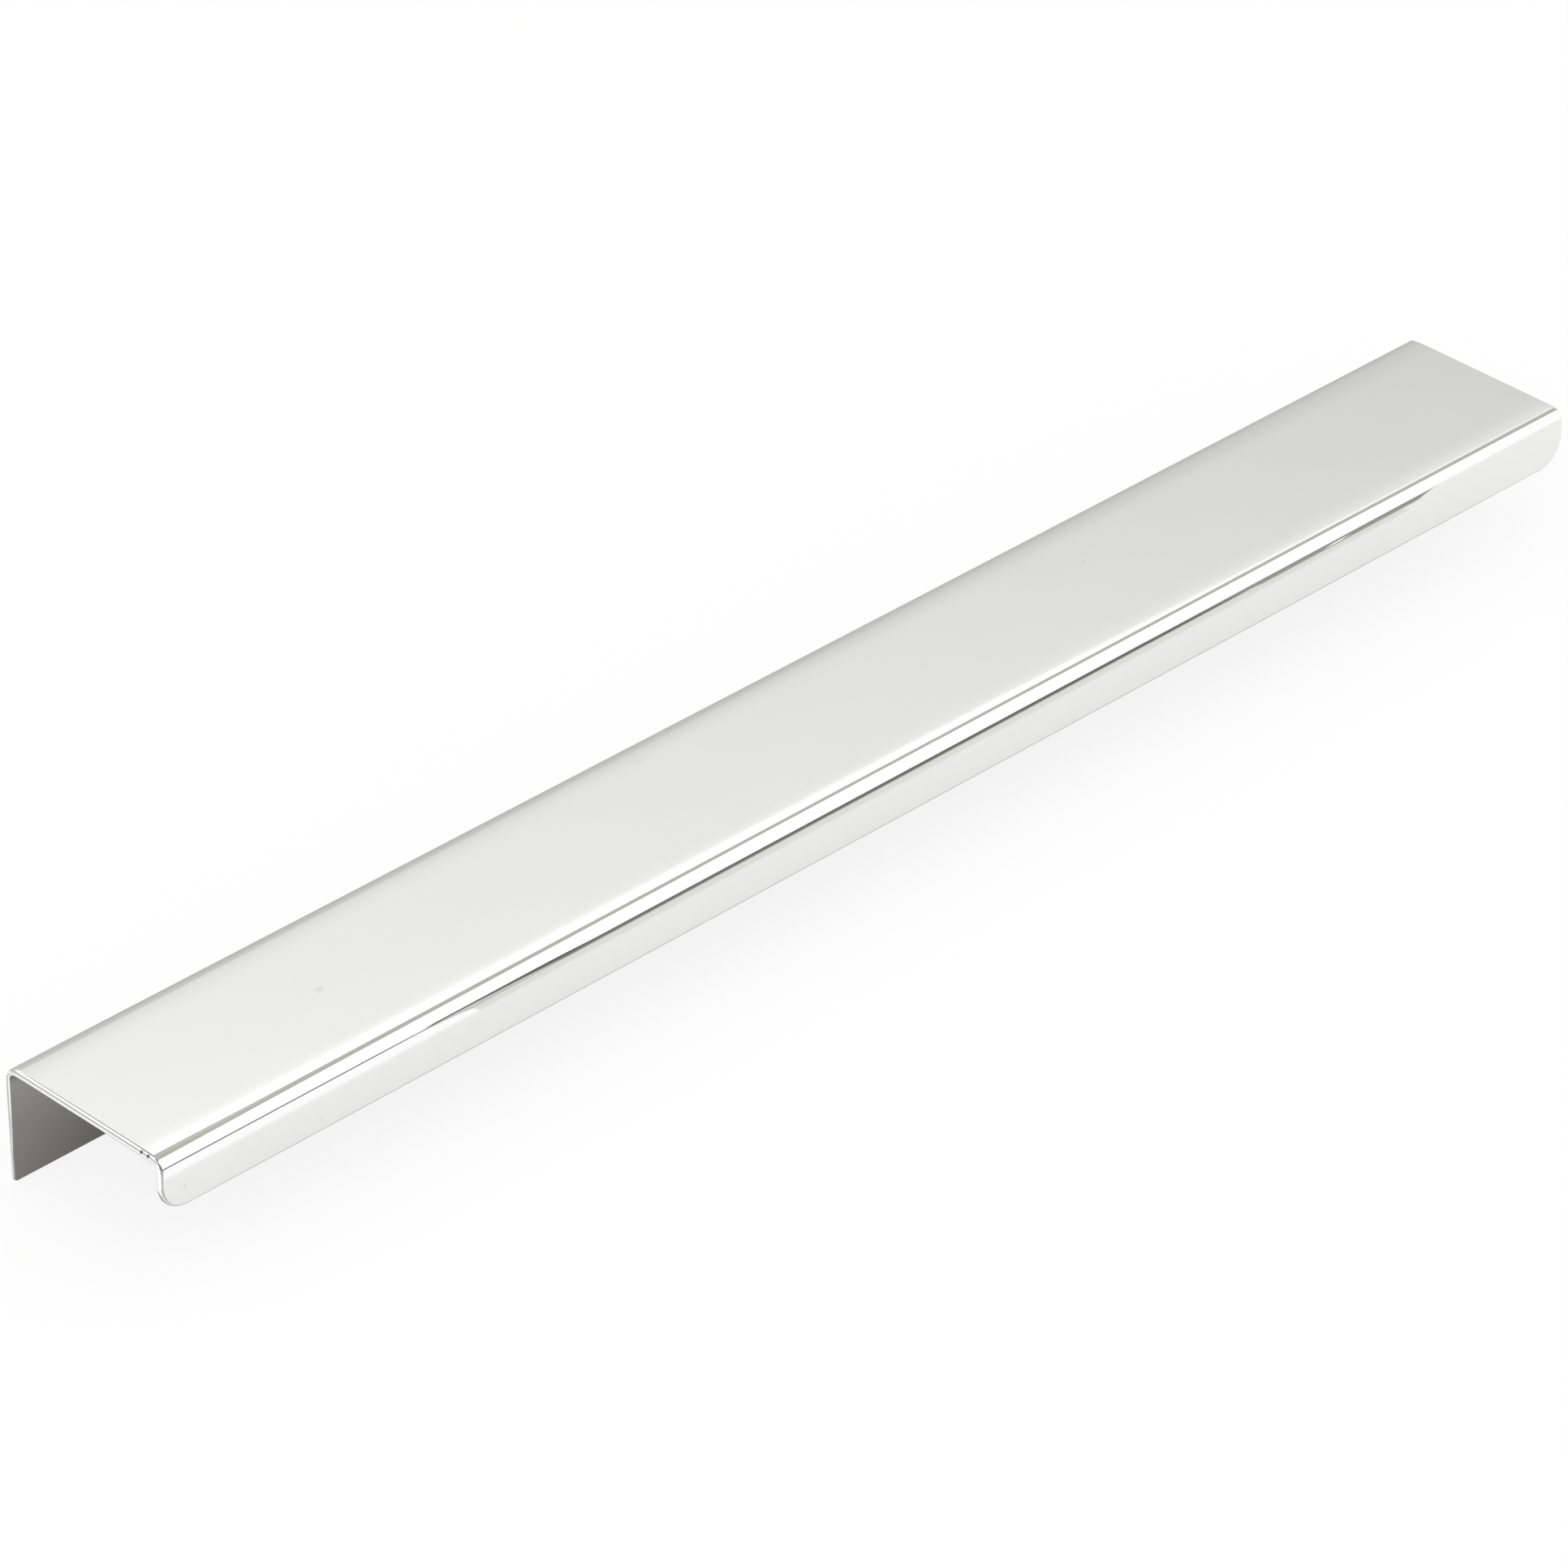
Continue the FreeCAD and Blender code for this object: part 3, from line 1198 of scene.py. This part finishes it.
    def _lay(self, name: str, plan: Plan, hairs: float = 0.0, **look: object) -> Card:
        """Makes a board that lies on the floor, some hairs above the others."""
        height = self.floor_height + self.floor_gap + hairs * self.hair
        return Card(name, level(height, plan), **look)

    def _cards_before(self) -> list[Card]:
        """Lists the boards on the floor before the pull, which the front bend and lip show.

        Returns:
            The boards.
        """
        lay = self._lay
        patch_plan = (
            (-0.060, -0.0678), (-0.064, -0.085), (-0.070, -0.105), (-0.016, -0.190),
            (0.014, -0.190), (-0.028, -0.108), (0.118, -0.108), (0.118, -0.0678),
        )
        patch_greys = (0.24, 0.22, 0.17, 0.09, 0.09, 0.08, 0.14, 0.20)
        patch_end_plan = ((0.118, -0.104), (0.1985, -0.104), (0.1625, -0.0636), (0.118, -0.0636))
        pane_plan = ((0.146, -0.0748), (0.1505, -0.0740), (0.142, -0.0667), (0.138, -0.0670))
        before_end_plan = (
            (-0.203, -0.059), (-0.265, -0.112), (-0.380, -0.181), (-0.153, -0.287),
            (-0.140, -0.150), (-0.145, -0.100), (-0.166, -0.0690),
        )
        before_end_greys = (0.58, 0.34, 0.26, 0.26, 0.30, 0.34, 0.50)
        return [
            lay("bright_front", oblong(-0.4, 0.5, -0.8, -0.130), hairs=-1, strength=1.2),
            lay("bright_left", oblong(-0.3, -0.084, -0.087, -0.0608), strength=1.15),
            lay("thin_strip", oblong(-0.3, -0.071, -0.122, -0.089), strength=0.2),
            lay("dark_patch", patch_plan, shade=self.olive, greys=patch_greys),
            lay("dark_patch_end", patch_end_plan, hairs=1, shade=self.olive,
                greys=(0.24, 0.22, 0.40, 0.40)),
            lay("small_pane", pane_plan, hairs=2, strength=1.2),
            lay("dark_before_end", before_end_plan, hairs=1.5, greys=before_end_greys),
            lay("olive_end", oblong(-0.084, -0.061, -0.087, -0.0676), strength=0.66),
            lay("grey_strip", oblong(-0.084, 0.1585, -0.0675, -0.0648), strength=0.58),
            lay("olive_strip", oblong(-0.084, 0.157, -0.0647, -0.0608), shade=(0.845, 0.85, 0.81)),
        ]

    def _cards_after(self) -> list[Card]:
        """Lists the boards on the floor under, behind and beside the pull.

        The flange's inside shows the first two, the back bend the next two, and the left end
        and the lip the rest.

        Returns:
            The boards.
        """
        lay = self._lay
        past_end = self.high.x + 0.009
        far_plan = ((-0.10, 0.131), (0.50, 0.131), (4.20, 4.0), (2.30, 4.0))
        beside_end_plan = ((-0.240, -0.012), (-0.176, -0.004), (-0.160, 0.040), (-0.240, 0.045))
        left_behind_plan = (
            (-0.1935, -0.012), (-0.1935, 0.026), (-0.2187, 0.042), (-0.246, 0.064),
            (-1.30, 1.05), (-1.60, 0.55), (-0.246, 0.0),
        )
        return [
            lay("shade_at_end", oblong(-0.184, -0.150, -0.036, 0.001), shade=self.shadow,
                greys=(0.50, 0.40, 0.10, 0.24)),
            lay("shade_under_pull", oblong(-0.150, past_end, -0.036, 0.001), shade=self.shadow,
                greys=(0.40, 0.40, 0.10, 0.10)),
            lay("floor_behind", oblong(-0.17, 0.30, 0.012, 0.130), greys=(0.74, 1.25, 1.25, 0.60)),
            lay("floor_far_behind", far_plan, greys=(0.45, 1.30, 1.20, 0.38)),
            lay("beside_end", beside_end_plan, greys=(0.74, 0.86, 0.52, 0.60)),
            lay("floor_left_behind", left_behind_plan, hairs=1, strength=1.08),
            lay("bright_beside_lip", oblong(-0.235, -0.186, -0.056, -0.0125), strength=1.2),
            lay("grey_before_lip", oblong(-0.195, -0.169, -0.078, -0.044), hairs=1, strength=0.62),
        ]

    def _floor(self) -> None:
        """Lays the floor: nearly white to the camera, as lit to the metal, clear from below."""
        half = self.floor_size / 2
        mesh = single_face("floor", level(0.0, oblong(-half, half, -half, half)))
        material = bpy.data.materials.new("pale_floor")
        board = NodeBoard.on(material)
        matt = board.add(
            "ShaderNodeBsdfPrincipled",
            {"Base Color": (*self.floor_tone, 1.0), "Roughness": 0.9, "Specular IOR Level": 0.0},
        )
        white = board.add("ShaderNodeEmission", {"Color": (1.0, 1.0, 1.0, 1.0), "Strength": 1.0})
        clear = board.add("ShaderNodeBsdfTransparent")
        light_path = board.add("ShaderNodeLightPath")
        geometry = board.add("ShaderNodeNewGeometry")
        share = board.math("MULTIPLY", light_path.outputs["Is Camera Ray"], self.floor_white)
        above = board.add("ShaderNodeMixShader", {0: share, 1: matt, 2: white})
        below = geometry.outputs["Backfacing"]
        either = board.add("ShaderNodeMixShader", {0: below, 1: above, 2: clear})
        board.add("ShaderNodeOutputMaterial", {"Surface": either})
        mesh.materials.append(material)
        floor = put_in_scene("floor", mesh)
        floor.location.z = self.floor_height
        floor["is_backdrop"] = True

    def _sky(self) -> None:
        """Makes the surroundings: white to the camera, soft walls and ceiling to the rest."""
        world = bpy.data.worlds.new("soft_studio")
        board = NodeBoard.on(world)
        direction = board.add("ShaderNodeTexCoord").outputs["Generated"]
        parts = board.add("ShaderNodeSeparateXYZ", {"Vector": direction})
        height = board.math("MULTIPLY_ADD", parts.outputs["Z"], 0.5, 0.5)
        behind = board.ramp(height, self.behind, blue=0.98)
        before = board.ramp(height, self.before)
        to_front = board.add(
            "ShaderNodeMapRange",
            {"Value": parts.outputs["Y"], "From Min": 0.2, "From Max": -0.2},
            interpolation_type="SMOOTHSTEP",
        )
        mixed = board.add("ShaderNodeMix", {"Factor": to_front}, data_type="RGBA")
        # A Mix node has inputs A and B for each type of data; these are the places of colour's.
        for place, grey in ((6, behind), (7, before)):
            board.tree.links.new(grey, mixed.inputs[place])
        soft = board.add(
            "ShaderNodeBackground", {"Color": mixed.outputs[2], "Strength": self.sky_strength}
        )
        white = board.add("ShaderNodeBackground", {"Color": (1.0, 1.0, 1.0, 1.0), "Strength": 1.0})
        light_path = board.add("ShaderNodeLightPath")
        to_camera = light_path.outputs["Is Camera Ray"]
        seen = board.add("ShaderNodeMixShader", {0: to_camera, 1: soft, 2: white})
        board.add("ShaderNodeOutputWorld", {"Surface": seen})
        bpy.context.scene.world = world

    def _lamp(self) -> None:
        """Hangs the soft lamp in front of the pull, to its left."""
        data = bpy.data.lights.new("soft_lamp", "AREA")
        data.size = self.lamp_size
        data.energy = self.lamp_power
        lamp = put_in_scene("soft_lamp", data)
        lamp.location = self.lamp_place
        lamp.rotation_euler = aimed(-Vector(self.lamp_place))


@dataclass(frozen=True)
class Viewpoint:
    """The camera that saw the pull.

    Attributes:
        azimuth: Its direction round the pull, in degrees, where 0 looks along +Y.
        elevation: Its direction above the horizon, in degrees.
        distance: Distance from the point that it looks at.
        target: The point that it looks at.
        lens: Focal length in millimetres, for a sensor as wide as the picture.
        sensor: Width of that sensor in millimetres.
        nearest: Distance at which its view starts.
        farthest: Distance at which its view ends.
    """

    azimuth: float = -44.4185
    elevation: float = 32.9005
    distance: float = 1.485571
    target: Triple = (-0.011811, -0.0188, 0.004278)
    lens: float = 191.764
    sensor: float = 36.0
    nearest: float = 0.05
    farthest: float = 50.0

    def build(self) -> None:
        """Makes the camera and sets it as the scene's own."""
        around, above = math.radians(self.azimuth), math.radians(self.elevation)
        away = math.cos(above)
        back = Vector((math.sin(around) * away, -math.cos(around) * away, math.sin(above)))
        data = bpy.data.cameras.new("camera")
        data.lens = self.lens
        data.sensor_width = self.sensor
        data.clip_start = self.nearest
        data.clip_end = self.farthest
        camera = put_in_scene("camera", data)
        camera.location = Vector(self.target) + back * self.distance
        camera.rotation_euler = aimed(-back)
        bpy.context.scene.camera = camera


def screw_row() -> tuple[float, float]:
    """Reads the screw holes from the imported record.

    Returns:
        The distance between the two end holes, and the radius of the holes, in metres.
    """
    millimetre = 0.001
    row = next(mount for mount in frame["record"]["mounts"] if mount["name"] == "screw_row")
    return row["dims"]["spacing_x_mm"] * millimetre, row["dims"]["hole_r_mm"] * millimetre


def make_finishes() -> dict[Skin, Material]:
    """Makes the finish of each kind of surface, with the small marks that show in the polish.

    Returns:
        The materials.
    """
    effects = Effects()
    face = MetalFinish(
        name="mirror_polish",
        marks=(
            Mark((-0.12260, -0.01925, 0.0132), 0.0013, 0.12),
            Mark((0.07050, -0.01330, 0.0132), 0.0005, 0.10),
            Mark((0.10340, -0.03340, 0.0132), 0.0012, 0.06),
            Mark((-0.03460, -0.00530, 0.0132), 0.0015, 0.04),
            Mark((-0.16990, -0.03880, 0.0062), 0.0006, 0.14),
            Mark((-0.13980, -0.03880, 0.0047), 0.0005, 0.12),
        ),
    )
    rim = MetalFinish(
        name="polished_rim",
        roughness=0.07,
        marks=(
            Mark((-0.1749, -0.03394, 0.0129), 0.0005, 0.95),
            Mark((-0.1749, -0.03560, 0.0129), 0.0005, 0.95),
        ),
    )
    bore = MetalFinish(name="drilled_bore", roughness=0.25)
    finishes = {Skin.FACE: face, Skin.RIM: rim, Skin.BORE: bore}
    return {skin: finish.build(effects) for skin, finish in finishes.items()}


def main() -> None:
    """Builds the pull, its finishes, the studio and the camera."""
    logging.basicConfig(level=logging.INFO, format="%(name)s: %(message)s")
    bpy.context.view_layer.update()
    low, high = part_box(NODE)
    spacing, radius = screw_row()
    finishes = make_finishes()
    strip = FoldedStrip(low=low, high=high, hole_spacing=spacing, hole_radius=radius)
    piece = strip.build()
    strip.dress(piece, finishes)
    LOG.info("%s has %d faces", piece.name, len(piece.data.polygons))
    Studio(low, high).build()
    Viewpoint().build()
    bpy.context.scene.view_settings.view_transform = "Standard"
    visual_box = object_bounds()
    extent = [round(value, 5) for value in visual_box[1] - visual_box[0]]
    LOG.info("the dressed pull is %s", extent)


if __name__ == "__main__":
    main()
